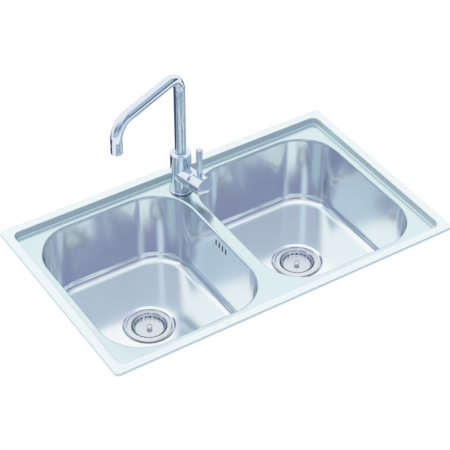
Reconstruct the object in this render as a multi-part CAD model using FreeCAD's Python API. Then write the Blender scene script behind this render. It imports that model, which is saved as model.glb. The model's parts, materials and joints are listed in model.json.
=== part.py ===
import FreeCAD, Part
import math
import os

from FreeCAD import Placement, Rotation, Vector

# Double bowl kitchen sink with its mixer tap. Millimetres, +Z up, +X along the sink, +Y to its back.
# The origin is the centre of the sink at the height of the worktop that the rim rests on.

# ---- driving dimensions: sink ----
SINK_LENGTH = 840.0
SINK_WIDTH = 515.0
SHEET = 1.2
RIM_TOP = 5.0
RIM_CORNER = 10.0
LIP_ROUND = 3.0
BORDER = 21.0
STEP_DROP = 15.0
STEP_RUN = 4.0
STEP_CORNER = 17.0
STEP_TOP_ROUND = 2.6
STEP_FOOT_ROUND = 3.0

BOWL_LENGTH = 361.0
BOWL_WIDTH = 426.0
BOWL_CENTRE_X = 196.5
BOWL_DEPTH = 190.0
BOWL_CORNER = 100.0
BOWL_DRAFT = 10.0
BOWL_FILLET = 21.0
ROLL_ROUND = 6.0
COLLAR = 8.0

# ---- driving dimensions: waste ----
WASTE_Y = 8.0
DISH_RADIUS = 59.0
DISH_DEPTH = 3.0
DISH_SLOPE = 5.0
DRAIN_HOLE_RADIUS = 45.0
FLANGE_RADIUS = 52.0
CUP_RADIUS = 38.0
CUP_WALL = 1.0
CUP_SEAT_DEPTH = 16.0
CUP_DEPTH = 38.0
WELL_RADIUS = 29.0
SEAL_THICK = 1.0
GASKET_THICK = 4.0
OUTLET_RADIUS = 23.9
OUTLET_BORE = 19.0
OUTLET_LENGTH = 24.0
PORT_RADIUS = 10.0
PORT_BORE = 8.0

# ---- driving dimensions: overflow ----
SLOT_COUNT = 4
SLOT_PITCH = 13.0
SLOT_WIDTH = 5.0
SLOT_HEIGHT = 15.0
OVERFLOW_Y = -3.0
OVERFLOW_DROP = 41.0

# ---- driving dimensions: rim clips ----
RAIL_WIDTH = 9.0
RAIL_HEIGHT = 8.0
RAIL_SLOT = 4.4
CLIP_BOLT_RADIUS = 2.0
WORKTOP_THICK = 30.0

# ---- driving dimensions: tap ----
TAP_Y = 189.0
TAP_HOLE_RADIUS = 17.5
BODY_RADIUS = 23.5
BODY_TOP = 87.0
RING_TOP = 95.0
SOCKET_RADIUS = 15.1
SOCKET_FLOOR = 58.0
TUBE_RADIUS = 12.5
TUBE_WALL = 1.5
SPOUT_HEIGHT = 301.0
SPOUT_REACH = 221.0
SPOUT_ANGLE = -157.0
SPOUT_BEND = 40.0
OUTLET_Z = 231.5

BARREL_ANGLE = -78.0
BARREL_Z = 38.0
BARREL_RADIUS = 23.3
BARREL_END = 40.75
CHAMBER_RADIUS = 17.7
CHAMBER_FLOOR = 14.0
NUT_RADIUS = 20.0
PIVOT_X = 35.0
DOME_RADIUS = 24.0
CAP_START = 47.0
CAP_END = 78.0
CAP_BORE = 21.3
LEVER_X = 60.0
LEVER_LENGTH = 73.0
LEVER_FOOT_RADIUS = 5.8
LEVER_HEAD_RADIUS = 7.5
STEM_SIZE = 8.0
RUNNING_GAP = 0.3

# ---- heights worked out from these ----
DECK_Z = RIM_TOP - STEP_DROP
COLLAR_Z = DECK_Z - COLLAR
FLOOR_Z = RIM_TOP - BOWL_DEPTH
DISH_Z = FLOOR_Z - DISH_DEPTH
UNDER_DISH_Z = DISH_Z - SHEET
FLANGE_Z = DISH_Z + SEAL_THICK
SIDES = {"left": -1, "right": 1}
X_AXIS = Vector(1, 0, 0)


# ---- shape helpers ----
def rounded_rectangle(length, width, radius, z, centre_x=0.0, centre_y=0.0):
    """Closed wire of four lines and four quarter arcs, level at height z."""
    x, y = length / 2, width / 2
    diagonal = radius * (1 - math.sqrt(0.5))
    edges = []
    for turn in range(4):
        spin = Rotation(Vector(0, 0, 1), 90 * turn)
        a, b = (x, y) if turn % 2 == 0 else (y, x)
        start, end = Vector(a, radius - b, z), Vector(a, b - radius, z)
        middle, finish = Vector(a - diagonal, b - diagonal, z), Vector(a - radius, b, z)
        edges.append(Part.makeLine(spin.multVec(start), spin.multVec(end)))
        arc = Part.Arc(spin.multVec(end), spin.multVec(middle), spin.multVec(finish))
        edges.append(arc.toShape())
    wire = Part.Wire(edges)
    wire.translate(Vector(centre_x, centre_y, 0))
    return wire


def prism(wire, height):
    return Part.Face(wire).extrude(Vector(0, 0, height))


def cylinder(radius, low, high, x=0.0, y=0.0):
    return Part.makeCylinder(radius, high - low, Vector(x, y, low))


def box(x0, x1, y0, y1, z0, z1):
    return Part.makeBox(x1 - x0, y1 - y0, z1 - z0, Vector(x0, y0, z0))


def revolve(profile, axis=Vector(0, 0, 1)):
    """Solid of revolution of a closed (radius, height) outline about the Z axis, or about X."""
    if axis.x:
        points = [Vector(height, 0, radius) for radius, height in profile]
    else:
        points = [Vector(radius, 0, height) for radius, height in profile]
    face = Part.Face(Part.makePolygon(points + points[:1]))
    return face.revolve(Vector(0, 0, 0), axis, 360)


def rod(radius, start, end, y=0.0, z=0.0):
    """Cylinder along +X."""
    return Part.makeCylinder(radius, end - start, Vector(start, y, z), X_AXIS)


def ring(inner, outer, low, high, x=0.0, y=0.0):
    return cylinder(outer, low, high, x, y).cut(cylinder(inner, low - 1, high + 1, x, y))


def level_edges(shape, z, half_x, half_y, centre_x=0.0, slack=0.6):
    """Edges that lie level at z on the sides of a centred rectangle of the given half sizes."""
    found = []
    for edge in shape.Edges:
        b = edge.BoundBox
        if abs(b.ZMin - z) > 0.05 or abs(b.ZMax - z) > 0.05:
            continue
        x = max(abs(b.XMin - centre_x), abs(b.XMax - centre_x))
        y = max(abs(b.YMin), abs(b.YMax))
        if abs(x - half_x) < slack or abs(y - half_y) < slack:
            if x < half_x + slack and y < half_y + slack:
                found.append(edge)
    return found


def pipe(points, bend, radius):
    """Round bar along straight runs joined by tangent arcs of one bend radius."""
    edges, last = [], points[0]
    for before, corner, after in zip(points, points[1:], points[2:]):
        arrive = (corner - before).normalize()
        leave = (after - corner).normalize()
        turn = math.acos(max(-1.0, min(1.0, arrive.dot(leave))))
        setback = bend * math.tan(turn / 2)
        start, end = corner - arrive * setback, corner + leave * setback
        inward = (leave - arrive).normalize()
        middle = corner + inward * (bend / math.cos(turn / 2) - bend)
        edges += [Part.makeLine(last, start), Part.Arc(start, middle, end).toShape()]
        last = end
    edges.append(Part.makeLine(last, points[-1]))
    heading = (points[1] - points[0]).normalize()
    circle = Part.Wire(Part.makeCircle(radius, points[0], heading))
    return Part.Wire(edges).makePipeShell([circle], True, True)


def in_barrel(shape):
    """Carry a shape drawn along +X, with the tap's axis at x = 0, to the side barrel."""
    shape.Placement = Placement(Vector(0, TAP_Y, BARREL_Z), Rotation(Vector(0, 0, 1), BARREL_ANGLE))
    return shape


def at_tap(shape):
    shape.translate(Vector(0, TAP_Y, 0))
    return shape


def group(shapes):
    return Part.makeCompound(shapes)


# ---- deck panel: raised border, step down to the deck, two rolled bowl openings, tap hole ----
def border_shell():
    block = prism(rounded_rectangle(SINK_LENGTH, SINK_WIDTH, RIM_CORNER, 0), RIM_TOP)
    block = block.makeFillet(LIP_ROUND, level_edges(block, RIM_TOP, SINK_LENGTH / 2, SINK_WIDTH / 2))
    inner_x, inner_y = SINK_LENGTH - 2 * SHEET, SINK_WIDTH - 2 * SHEET
    hollow = prism(rounded_rectangle(inner_x, inner_y, RIM_CORNER - SHEET, 0), RIM_TOP - SHEET)
    edges = level_edges(hollow, RIM_TOP - SHEET, inner_x / 2, inner_y / 2)
    return block.cut(hollow.makeFillet(LIP_ROUND - SHEET, edges))


def step_form(grow):
    """The well that the step encloses, grown outwards and down by the sheet's thickness."""
    length, width = SINK_LENGTH - 2 * BORDER, SINK_WIDTH - 2 * BORDER
    foot = DECK_Z - grow
    top = rounded_rectangle(length + 2 * grow, width + 2 * grow, STEP_CORNER + grow, RIM_TOP)
    length, width = length - 2 * STEP_RUN + 2 * grow, width - 2 * STEP_RUN + 2 * grow
    low = rounded_rectangle(length, width, STEP_CORNER - STEP_RUN + grow, foot)
    well = Part.makeLoft([top, low], True, True)
    return well.makeFillet(STEP_FOOT_ROUND + grow, level_edges(well, foot, length / 2, width / 2))


def rolled_opening(panel, side):
    """Cut one bowl opening and roll its edge down into a collar, even in thickness."""
    x = side * BOWL_CENTRE_X
    opening = rounded_rectangle(BOWL_LENGTH, BOWL_WIDTH, BOWL_CORNER, COLLAR_Z - 5, x)
    outline = (BOWL_LENGTH + 2 * SHEET, BOWL_WIDTH + 2 * SHEET)
    collar = prism(rounded_rectangle(*outline, BOWL_CORNER + SHEET, COLLAR_Z, x), COLLAR - SHEET)
    panel = panel.fuse(collar).cut(prism(opening, COLLAR + 10)).removeSplitter()
    under = level_edges(panel, DECK_Z - SHEET, outline[0] / 2, outline[1] / 2, x)
    panel = panel.makeFillet(ROLL_ROUND - SHEET, under)
    return panel.makeFillet(ROLL_ROUND, level_edges(panel, DECK_Z, BOWL_LENGTH / 2, BOWL_WIDTH / 2, x))


def deck_panel():
    well = step_form(0.0)
    panel = border_shell().fuse(step_form(SHEET)).cut(well)
    length, width = SINK_LENGTH - 2 * BORDER, SINK_WIDTH - 2 * BORDER
    panel = panel.makeFillet(STEP_TOP_ROUND, level_edges(panel, RIM_TOP, length / 2, width / 2))
    for side in SIDES.values():
        panel = rolled_opening(panel, side)
    return panel.cut(cylinder(TAP_HOLE_RADIUS, DECK_Z - 5, DECK_Z + 5, 0, TAP_Y))


# ---- bowls: drawn, drafted walls, filleted floor, dished seat for the strainer ----
def bowl_form(side, grow):
    x = side * BOWL_CENTRE_X
    floor = FLOOR_Z - grow
    top = rounded_rectangle(BOWL_LENGTH + 2 * grow, BOWL_WIDTH + 2 * grow, BOWL_CORNER + grow, COLLAR_Z, x)
    length = BOWL_LENGTH + 2 * (grow - BOWL_DRAFT)
    width = BOWL_WIDTH + 2 * (grow - BOWL_DRAFT)
    low = rounded_rectangle(length, width, BOWL_CORNER - BOWL_DRAFT + grow, floor, x)
    form = Part.makeLoft([top, low], True, True)
    return form.makeFillet(BOWL_FILLET + grow, level_edges(form, floor, length / 2, width / 2, x))


def drain_dish():
    """Shallow pressed seat round the drain hole, from the floor down to the flange's level."""
    foot = DISH_RADIUS - DISH_SLOPE
    return revolve([
        (DISH_RADIUS, FLOOR_Z), (foot, DISH_Z), (DRAIN_HOLE_RADIUS, DISH_Z),
        (DRAIN_HOLE_RADIUS, UNDER_DISH_Z), (foot, UNDER_DISH_Z), (DISH_RADIUS, FLOOR_Z - SHEET)])


def overflow_frame():
    """Place on the left bowl's divider wall: local X leaves the wall, square to its draft."""
    tilt = math.degrees(math.atan2(BOWL_DRAFT, COLLAR_Z - FLOOR_Z + SHEET))
    drop = (COLLAR_Z - (RIM_TOP - OVERFLOW_DROP)) * math.tan(math.radians(tilt))
    x = -BOWL_CENTRE_X + BOWL_LENGTH / 2 - drop + SHEET
    return Placement(Vector(x, OVERFLOW_Y, RIM_TOP - OVERFLOW_DROP), Rotation(Vector(0, 1, 0), tilt))


def obround(width, height, x0, x1, y, z=0.0):
    """Bar along X with an upright obround section."""
    reach = (height - width) / 2
    bar = box(x0, x1, y - width / 2, y + width / 2, z - reach, z + reach)
    for end in (z - reach, z + reach):
        bar = bar.fuse(rod(width / 2, x0, x1, y, end))
    return bar


def slot_offsets():
    return [SLOT_PITCH * (i - (SLOT_COUNT - 1) / 2) for i in range(SLOT_COUNT)]


def bowl(side):
    x = side * BOWL_CENTRE_X
    shell = bowl_form(side, SHEET).cut(bowl_form(side, 0.0))
    shell = shell.cut(cylinder(DISH_RADIUS, FLOOR_Z - 5, FLOOR_Z + 5, x, WASTE_Y))
    dish = drain_dish()
    dish.translate(Vector(x, WASTE_Y, 0))
    shell = shell.fuse(dish).removeSplitter()
    if side < 0:
        for y in slot_offsets():
            slot = obround(SLOT_WIDTH, SLOT_HEIGHT, -6, 4, y)
            slot.Placement = overflow_frame()
            shell = shell.cut(slot)
    return shell


# ---- overflow behind the left bowl's wall ----
OVERFLOW_SPAN = SLOT_COUNT * SLOT_PITCH + 6
OVERFLOW_TALL = SLOT_HEIGHT + 9
STUD_Y = OVERFLOW_SPAN / 2 + 7
OVERFLOW_STUD_RADIUS = 2.0
OVERFLOW_GASKET = 2.0
OVERFLOW_FLANGE = 2.0
HOUSING_DEEP = 17.0
SPIGOT_LENGTH = 22.0
SPIGOT_OFFSET = 10.9
SPIGOT_OUTER = 6.0
SPIGOT_BORE = 4.4


def flat_plate(length, height, radius, x0, x1):
    """Rounded plate square to X."""
    plate = prism(rounded_rectangle(height, length, radius, 0), x1 - x0)
    plate.Placement = Placement(Vector(x0, 0, 0), Rotation(Vector(0, 1, 0), 90))
    return plate


def overflow_parts():
    flange_length = 2 * STUD_Y + 10
    flange_end = OVERFLOW_GASKET + OVERFLOW_FLANGE
    window = flat_plate(OVERFLOW_SPAN, OVERFLOW_TALL, 6, -1, flange_end + 0.5)
    gasket = flat_plate(flange_length, OVERFLOW_TALL + 6, 8, 0, OVERFLOW_GASKET).cut(window)
    flange = flat_plate(flange_length, OVERFLOW_TALL + 6, 8, OVERFLOW_GASKET, flange_end)
    shell = flat_plate(OVERFLOW_SPAN + 4, OVERFLOW_TALL + 4, 8, flange_end, HOUSING_DEEP)
    hollow = flat_plate(OVERFLOW_SPAN, OVERFLOW_TALL, 6, OVERFLOW_GASKET, HOUSING_DEEP - 2)
    bottom = -(OVERFLOW_TALL / 2 + 2 + SPIGOT_LENGTH)
    spigot = cylinder(SPIGOT_OUTER, bottom, 0, SPIGOT_OFFSET)
    bore = cylinder(SPIGOT_BORE, bottom - 1, 0, SPIGOT_OFFSET)
    housing = flange.fuse(shell).fuse(spigot).cut(hollow).cut(bore)
    studs, nuts = [], []
    for y in (-STUD_Y, STUD_Y):
        hole = rod(OVERFLOW_STUD_RADIUS + 0.2, -1, 11, y)
        gasket, housing = gasket.cut(hole), housing.cut(hole)
        studs.append(rod(OVERFLOW_STUD_RADIUS, 0, 9, y))
        nut = hexagon(7.0, 3.0)
        nut.Placement = Placement(Vector(flange_end, y, 0), Rotation(Vector(0, 1, 0), 90))
        nuts.append(nut.cut(rod(OVERFLOW_STUD_RADIUS, -1, 11, y)))
    frame = overflow_frame()
    parts = {"overflow_gasket": gasket, "overflow_housing": housing,
             "overflow_studs": group(studs), "overflow_nuts": group(nuts)}
    for name, shape in parts.items():
        shape.Placement = frame.multiply(shape.Placement)
    return parts


def hexagon(across_flats, height, z=0.0):
    reach = across_flats / math.sqrt(3)
    corners = [Vector(reach * math.cos(math.radians(60 * i)), reach * math.sin(math.radians(60 * i)), z)
               for i in range(6)]
    return prism(Part.makePolygon(corners + corners[:1]), height)


# ---- waste: one strainer set for each bowl, drawn about its own axis ----
UNDER_GASKET_Z = UNDER_DISH_Z - GASKET_THICK
CUP_FLOOR_Z = FLANGE_Z - CUP_DEPTH
SEAT_Z = FLANGE_Z - CUP_SEAT_DEPTH
HOUSING_FLOOR_Z = CUP_FLOOR_Z - 12.0
OUTLET_TOP_Z = HOUSING_FLOOR_Z - 10.0
OUTLET_END_Z = OUTLET_TOP_Z - OUTLET_LENGTH
PORT_Z = CUP_FLOOR_Z - 1.0
PORT_SHOULDER = 49.0
PORT_END = 64.0
FLANGE_RIM = 1.4
CUP_HOLES = 6
CUP_HOLE_RADIUS = 5.5
CUP_HOLE_ORBIT = 18.0
HOUSING_WALL = 2.4
HOUSING_BORE_RADIUS = 44.0
HOUSING_CONE_RADIUS = 36.0
PILLAR_RADIUS = 6.0
CROSS_THICK = 3.0
SCREW_RADIUS = 3.0
BASKET_RADIUS = 36.5
BASKET_FLOOR_RADIUS = 32.0
BASKET_FLOOR_Z = FLOOR_Z - 11.0
BASKET_SHEET = 0.8
BASKET_SLOTS = 20
BASKET_SLOT_WIDTH = 2.4
BASKET_SEAL_RADIUS = 32.3
KNOB_RADIUS = 6.5
KNOB_HEIGHT = 8.6
POST_RADIUS = 2.3


def strainer_cup():
    """Flange, straight wall, cone that the basket's seal closes on, and a perforated well."""
    seat_low = SEAT_Z - 6.0
    cup = revolve([
        (FLANGE_RADIUS, FLANGE_Z), (FLANGE_RADIUS - 0.6, FLANGE_Z + FLANGE_RIM * 0.7),
        (FLANGE_RADIUS - 4, FLANGE_Z + FLANGE_RIM), (CUP_RADIUS + 3, FLANGE_Z + FLANGE_RIM),
        (CUP_RADIUS + 0.9, FLANGE_Z + 0.5), (CUP_RADIUS, FLANGE_Z - 1.6), (CUP_RADIUS, SEAT_Z),
        (WELL_RADIUS, seat_low), (WELL_RADIUS, CUP_FLOOR_Z + CUP_WALL), (0, CUP_FLOOR_Z + CUP_WALL),
        (0, CUP_FLOOR_Z), (WELL_RADIUS + CUP_WALL, CUP_FLOOR_Z),
        (WELL_RADIUS + CUP_WALL, seat_low - 0.6), (CUP_RADIUS + CUP_WALL, SEAT_Z - 0.6),
        (CUP_RADIUS + CUP_WALL, FLANGE_Z - 2), (CUP_RADIUS + 3, FLANGE_Z)])
    cup = cup.cut(cylinder(SCREW_RADIUS + 0.1, CUP_FLOOR_Z - 1, CUP_FLOOR_Z + 5))
    for i in range(CUP_HOLES):
        angle = math.radians(360 * i / CUP_HOLES)
        x, y = CUP_HOLE_ORBIT * math.cos(angle), CUP_HOLE_ORBIT * math.sin(angle)
        cup = cup.cut(cylinder(CUP_HOLE_RADIUS, CUP_FLOOR_Z - 1, CUP_FLOOR_Z + 5, x, y))
    return cup


def cup_screw():
    top = CUP_FLOOR_Z + CUP_WALL
    head = 2 * SCREW_RADIUS
    screw = cylinder(SCREW_RADIUS, HOUSING_FLOOR_Z + 2, top).fuse(cylinder(head, top, top + 2.4))
    return screw.cut(box(-head, head, -0.7, 0.7, top + 1.2, top + 3))


def overflow_port(housing, inside):
    """Spigot along +X for the hose from the overflow, on a shoulder that meets the wall all round."""
    start = HOUSING_CONE_RADIUS - 5
    tube = rod(PORT_RADIUS, start, PORT_END, 0, PORT_Z)
    tube = tube.fuse(rod(PORT_RADIUS + 3, start, PORT_SHOULDER, 0, PORT_Z)).cut(inside)
    return housing.fuse(tube).cut(rod(PORT_BORE, start, PORT_END + 1, 0, PORT_Z))


def waste_housing(port):
    """Moulded bowl under the sink: gasket ring, cone to the outlet tube, screw pillar on a cross."""
    wall, bore, cone = HOUSING_WALL, HOUSING_BORE_RADIUS, HOUSING_CONE_RADIUS
    cone_top = CUP_FLOOR_Z + 6
    housing = revolve([
        (bore, UNDER_GASKET_Z), (FLANGE_RADIUS + 4, UNDER_GASKET_Z), (FLANGE_RADIUS + 4, UNDER_GASKET_Z - 5),
        (bore + wall, UNDER_GASKET_Z - 5), (bore + wall, cone_top), (cone, HOUSING_FLOOR_Z),
        (OUTLET_RADIUS, OUTLET_TOP_Z), (OUTLET_RADIUS, OUTLET_END_Z), (OUTLET_BORE, OUTLET_END_Z),
        (OUTLET_BORE, OUTLET_TOP_Z + 2), (cone - wall, HOUSING_FLOOR_Z + wall), (bore, cone_top)])
    bridge_low, bridge_top = HOUSING_FLOOR_Z - 2, HOUSING_FLOOR_Z + 6
    half, reach = CROSS_THICK / 2, HOUSING_CONE_RADIUS - 6
    cross = cylinder(PILLAR_RADIUS, bridge_low, CUP_FLOOR_Z)
    cross = cross.fuse(box(-reach, reach, -half, half, bridge_low, bridge_top))
    cross = cross.fuse(box(-half, half, -reach, reach, bridge_low, bridge_top))
    inside = revolve([
        (0, OUTLET_END_Z), (OUTLET_BORE + 1, OUTLET_END_Z), (OUTLET_BORE + 1, OUTLET_TOP_Z + 2),
        (cone - wall / 2, HOUSING_FLOOR_Z + wall / 2), (bore + 1, cone_top), (bore + 1, UNDER_GASKET_Z),
        (0, UNDER_GASKET_Z)])
    housing = housing.fuse(cross.common(inside))
    housing = housing.cut(cylinder(SCREW_RADIUS, HOUSING_FLOOR_Z + 2, CUP_FLOOR_Z + 1))
    return overflow_port(housing, inside) if port else housing


def basket():
    """Shallow strainer cup: rolled rim, slotted conical wall, plain floor."""
    rim_z = FLANGE_Z - 0.4
    inner = BASKET_FLOOR_RADIUS
    body = revolve([
        (BASKET_RADIUS, rim_z - 1.6), (BASKET_RADIUS, rim_z - 0.4), (BASKET_RADIUS - 0.6, rim_z),
        (BASKET_RADIUS - 1.8, rim_z - 0.4), (inner, BASKET_FLOOR_Z + 1.2),
        (inner - 1.6, BASKET_FLOOR_Z), (0, BASKET_FLOOR_Z), (0, BASKET_FLOOR_Z - BASKET_SHEET),
        (inner - 1.2, BASKET_FLOOR_Z - BASKET_SHEET), (inner + BASKET_SHEET, BASKET_FLOOR_Z + 0.6),
        (BASKET_RADIUS - 1.0, rim_z - 1.6)])
    cutters = [cylinder(POST_RADIUS, BASKET_FLOOR_Z - 2, BASKET_FLOOR_Z + 2)]
    half, low, high = BASKET_SLOT_WIDTH / 2, BASKET_FLOOR_Z + 2.2, rim_z - 2.6
    for i in range(BASKET_SLOTS):
        slot = box(inner - 2, BASKET_RADIUS + 1, -half, half, low, high)
        slot.rotate(Vector(0, 0, 0), Vector(0, 0, 1), 360 * i / BASKET_SLOTS)
        cutters.append(slot)
    return body.cut(group(cutters))


def basket_knob():
    """Turned knob over the floor, with the post that carries the seal below it."""
    floor, under = BASKET_FLOOR_Z, BASKET_FLOOR_Z - BASKET_SHEET
    top, wide, neck = floor + KNOB_HEIGHT, KNOB_RADIUS, KNOB_RADIUS / 2
    return revolve([
        (0, top), (neck, top - 0.3), (wide - 0.5, top - 1.5), (wide, top - 3.0), (wide - 1.0, top - 4.2),
        (neck, top - 5.2), (neck, floor + 1.2), (neck + 1.8, floor), (POST_RADIUS, floor),
        (POST_RADIUS, under - 5.0), (4.0, under - 5.0), (4.0, under - 6.2), (0, under - 6.2)])


def basket_seal():
    """Moulded rubber disc, its thin lip sloping down to the cone of the cup."""
    under = BASKET_FLOOR_Z - BASKET_SHEET
    lip_z = SEAT_Z - 3.4
    return revolve([
        (POST_RADIUS, under), (22, under), (BASKET_SEAL_RADIUS, lip_z + 1.5), (BASKET_SEAL_RADIUS, lip_z),
        (22, lip_z + 0.4), (12, under - 5.0), (POST_RADIUS, under - 5.0)])


def waste_parts(name, side):
    x = side * BOWL_CENTRE_X
    shapes = {
        "flange_seal": ring(46, FLANGE_RADIUS - 1, DISH_Z, FLANGE_Z),
        "strainer_cup": strainer_cup(),
        "cup_screw": cup_screw(),
        "under_gasket": ring(46, FLANGE_RADIUS + 4, UNDER_GASKET_Z, UNDER_DISH_Z),
        "waste_housing": waste_housing(side < 0),
        "basket": basket(),
        "basket_knob": basket_knob(),
        "basket_seal": basket_seal()}
    for shape in shapes.values():
        shape.translate(Vector(x, WASTE_Y, 0))
    return {f"{name}_{key}": shape for key, shape in shapes.items()}


# ---- seal, clips and sound pads ----
CLIP_LONG = (-300.0, 0.0, 300.0)
CLIP_SHORT = (-120.0, 120.0)
RAIL_Y = BOWL_WIDTH / 2 + SHEET + 10.0
RAIL_X = BOWL_CENTRE_X + BOWL_LENGTH / 2 + SHEET + 9.4
RAIL_TOP = DECK_Z - SHEET
CLIP_WIDTH = 14.0
CLIP_SHEET = 2.0
CLIP_ARM_Z = -WORKTOP_THICK - 14.0
PAD_LENGTH = 230.0
PAD_WIDTH = 100.0
PAD_THICK = 2.0
PAD_Y = 121.0


def rim_seal():
    outer = rounded_rectangle(SINK_LENGTH - 12, SINK_WIDTH - 12, RIM_CORNER - 2, 0)
    inner = rounded_rectangle(SINK_LENGTH - 30, SINK_WIDTH - 30, RIM_CORNER - 4, 0)
    height = RIM_TOP - SHEET
    return prism(outer, height).cut(prism(inner, height))


def rail(length):
    """Rolled channel along X, its slot facing down, top at the underside of the deck."""
    half, wall = RAIL_WIDTH / 2, 1.2
    low = RAIL_TOP - RAIL_HEIGHT
    body = box(-length / 2, length / 2, -half, half, low, RAIL_TOP)
    body = body.cut(box(-length, length, wall - half, half - wall, low + wall, RAIL_TOP - wall))
    return body.cut(box(-length, length, -RAIL_SLOT / 2, RAIL_SLOT / 2, low - 1, low + 2 * wall))


def clip_places():
    """Position and turn of each clip: local +Y points outwards, to the worktop."""
    places = []
    up = Vector(0, 0, 1)
    for sign in (1, -1):
        along, across = Rotation(up, 0 if sign > 0 else 180), Rotation(up, -90 * sign)
        places += [Placement(Vector(x, sign * RAIL_Y, 0), along) for x in CLIP_LONG]
        places += [Placement(Vector(sign * RAIL_X, y, 0), across) for y in CLIP_SHORT]
    return places


def clip_bracket():
    """Bent steel strip: short heel, flat arm with the bolt hole, toothed jaw under the worktop."""
    half, thick, arm = CLIP_WIDTH / 2, CLIP_SHEET, CLIP_ARM_Z
    reach = SINK_WIDTH / 2 - BORDER / 2 - RAIL_Y + 3
    strip = box(-half, half, -half, reach, arm, arm + thick)
    strip = strip.fuse(box(-half, half, -half, thick - half, arm, arm + half))
    jaw = box(-half, half, reach - thick, reach, arm, -WORKTOP_THICK)
    for x in (-half / 2, half / 2):
        notch = Part.makeCylinder(1.6, 6, Vector(x, reach - 4, -WORKTOP_THICK), Vector(0, 1, 0))
        jaw = jaw.cut(notch)
    return strip.fuse(jaw).cut(cylinder(CLIP_BOLT_RADIUS + 0.3, arm - 1, arm + 3))


def clip_bolt():
    """Hammer-head bolt: its oblong head turns crosswise inside the rail."""
    head_top = RAIL_TOP - 1.6
    head = box(-4.5, 4.5, -3, 3, head_top - 3, head_top)
    return head.fuse(cylinder(CLIP_BOLT_RADIUS, CLIP_ARM_Z - 14, head_top - 3))


def clip_nut():
    nut = hexagon(7.0, 3.2, CLIP_ARM_Z - 3.2).fuse(cylinder(5.0, CLIP_ARM_Z - 0.8, CLIP_ARM_Z))
    return nut.cut(cylinder(CLIP_BOLT_RADIUS, CLIP_ARM_Z - 5, CLIP_ARM_Z + 1))


def clip_parts():
    groups = {"clip_brackets": clip_bracket(), "clip_bolts": clip_bolt(), "clip_nuts": clip_nut()}
    parts = {}
    for name, shape in groups.items():
        copies = []
        for place in clip_places():
            copy = shape.copy()
            copy.Placement = place
            copies.append(copy)
        parts[name] = group(copies)
    rails = []
    for sign in (1, -1):
        long_rail, short_rail = rail(SINK_LENGTH - 120), rail(SINK_WIDTH - 140)
        long_rail.translate(Vector(0, sign * RAIL_Y, 0))
        short_rail.Placement = Placement(Vector(sign * RAIL_X, 0, 0), Rotation(Vector(0, 0, 1), 90))
        rails += [long_rail, short_rail]
    parts["clip_rails"] = group(rails)
    return parts


def sound_pad(side):
    low = FLOOR_Z - SHEET - PAD_THICK
    pads = []
    for y in (-PAD_Y, PAD_Y):
        outline = rounded_rectangle(PAD_LENGTH, PAD_WIDTH, 12, low, side * BOWL_CENTRE_X, y)
        pads.append(prism(outline, PAD_THICK))
    return group(pads)


# ---- tap: what stands still ----
BASE_GASKET = 1.5
BASE_RING = 4.0
BODY_FOOT = DECK_Z + BASE_GASKET + BASE_RING
SPIGOT_RADIUS = 16.8
SPIGOT_FOOT = DECK_Z - SHEET + 0.2
INLET_RADIUS = 5.0
INLET_DEPTH = 14.0
INLET_X = 6.5
INLET_Y = -5.0
STUD_RADIUS = 4.0
STUD_OFFSET = 12.0
STUD_LENGTH = 62.0
WASHER_RADIUS = 22.0
NOTCH_RADIUS = 12.5
NOTCH_Y = -6.0
PORT_HOLE_RADIUS = 3.0
FEED_RADIUS = 2.1
PORT_PLACES = ((-8, -4), (8, -4), (0, 8))


def base_ring():
    top = DECK_Z + BASE_GASKET + BASE_RING
    low = DECK_Z + BASE_GASKET
    shape = revolve([
        (SPIGOT_RADIUS, low), (27.0, low), (27.0, low + 1.8), (25.6, top - 0.6), (24.6, top),
        (SPIGOT_RADIUS, top)])
    return at_tap(shape)


def tap_body():
    """Upright cylinder with the side barrel, spout socket, cartridge chamber and waterways."""
    turn = Rotation(Vector(0, 0, 1), BARREL_ANGLE)
    body = revolve([
        (0, SPIGOT_FOOT), (SPIGOT_RADIUS, SPIGOT_FOOT), (SPIGOT_RADIUS, BODY_FOOT),
        (BODY_RADIUS - 0.8, BODY_FOOT), (BODY_RADIUS, BODY_FOOT + 0.8), (BODY_RADIUS, BODY_TOP),
        (0, BODY_TOP)])
    barrel = rod(BARREL_RADIUS, 0, BARREL_END)
    cutters = rod(CHAMBER_RADIUS, CHAMBER_FLOOR, BARREL_END + 1)
    cutters = cutters.fuse(rod(NUT_RADIUS, BARREL_END - 7, BARREL_END + 1))
    for y, z in PORT_PLACES:
        cutters = cutters.fuse(rod(PORT_HOLE_RADIUS, 2, CHAMBER_FLOOR + 1, y, z))
    for shape in (barrel, cutters):
        shape.Placement = Placement(Vector(0, 0, BARREL_Z), turn)
    body = body.fuse(barrel).cut(cutters)
    feed_low = SPIGOT_FOOT + INLET_DEPTH
    for y, z in PORT_PLACES:
        foot = turn.multVec(Vector(6, y, 0))
        port_z = BARREL_Z + z
        if z < 0:
            inlet_x = INLET_X if foot.x > 0 else -INLET_X
            body = body.cut(cylinder(INLET_RADIUS, SPIGOT_FOOT - 1, feed_low, inlet_x, INLET_Y))
            body = body.cut(cylinder(FEED_RADIUS, feed_low - 3, port_z, foot.x, foot.y))
        else:
            body = body.cut(cylinder(FEED_RADIUS, port_z, SOCKET_FLOOR + 1, foot.x, foot.y))
    body = body.cut(cylinder(SOCKET_RADIUS, SOCKET_FLOOR, BODY_TOP + 1))
    body = body.cut(cylinder(STUD_RADIUS, SPIGOT_FOOT - 1, SPIGOT_FOOT + 12, 0, STUD_OFFSET))
    return at_tap(body)


def spout_ring():
    """Collar that closes the body's top round the spout, its face falling away from the tube."""
    bore = TUBE_RADIUS + RUNNING_GAP
    shape = revolve([
        (bore, BODY_TOP), (BODY_RADIUS, BODY_TOP), (BODY_RADIUS, RING_TOP - 3.2),
        (BODY_RADIUS - 1.0, RING_TOP - 2.2), (bore + 3.4, RING_TOP - 0.8), (bore + 2.2, RING_TOP),
        (bore, RING_TOP)])
    return at_tap(shape)


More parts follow.
